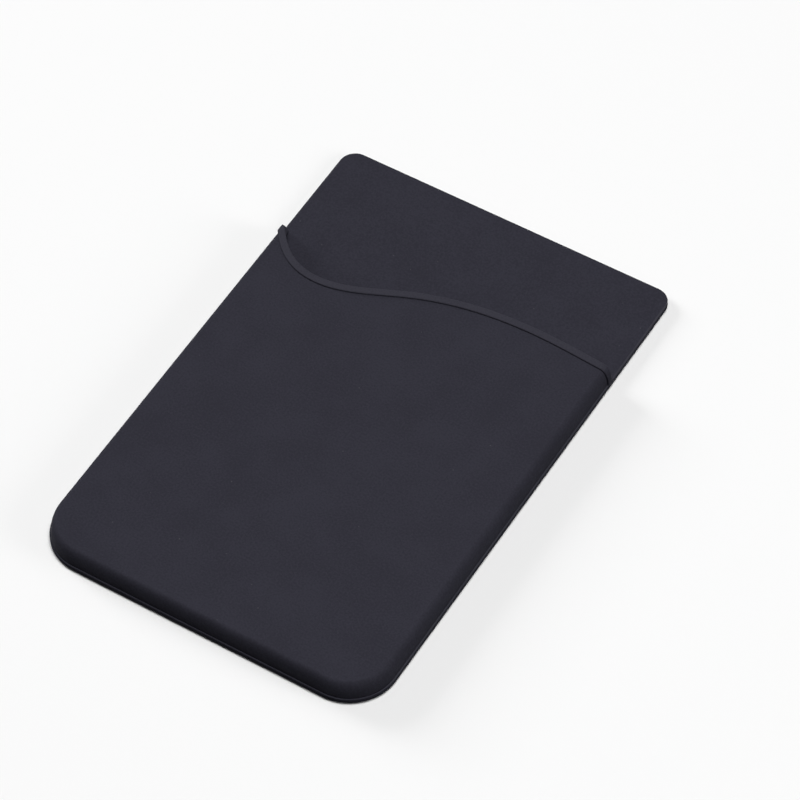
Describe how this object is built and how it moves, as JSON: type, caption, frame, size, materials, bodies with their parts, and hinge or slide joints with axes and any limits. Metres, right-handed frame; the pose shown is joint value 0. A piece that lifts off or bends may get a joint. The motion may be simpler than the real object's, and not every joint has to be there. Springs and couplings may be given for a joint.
{
  "type": "stick-on phone card holder",
  "caption": "Soft silicone card pocket with a wavy beaded mouth, held to the back of a phone by an adhesive pad.",
  "frame": {"origin": "middle of the underside of the adhesive pad, where the holder meets the phone", "axes": "+X to the right seen from the front, +Y along the holder towards the mouth, +Z out of the front wall"},
  "size_m": [0.0562, 0.085, 0.0042],
  "materials": {
    "silicone": "matt charcoal silicone rubber with a faint violet cast",
    "adhesive": "pale double-sided adhesive tape, slightly glossy"
  },
  "bodies": {
    "root": {"pocket": "silicone", "adhesive_pad": "adhesive"}
  },
  "joints": []
}
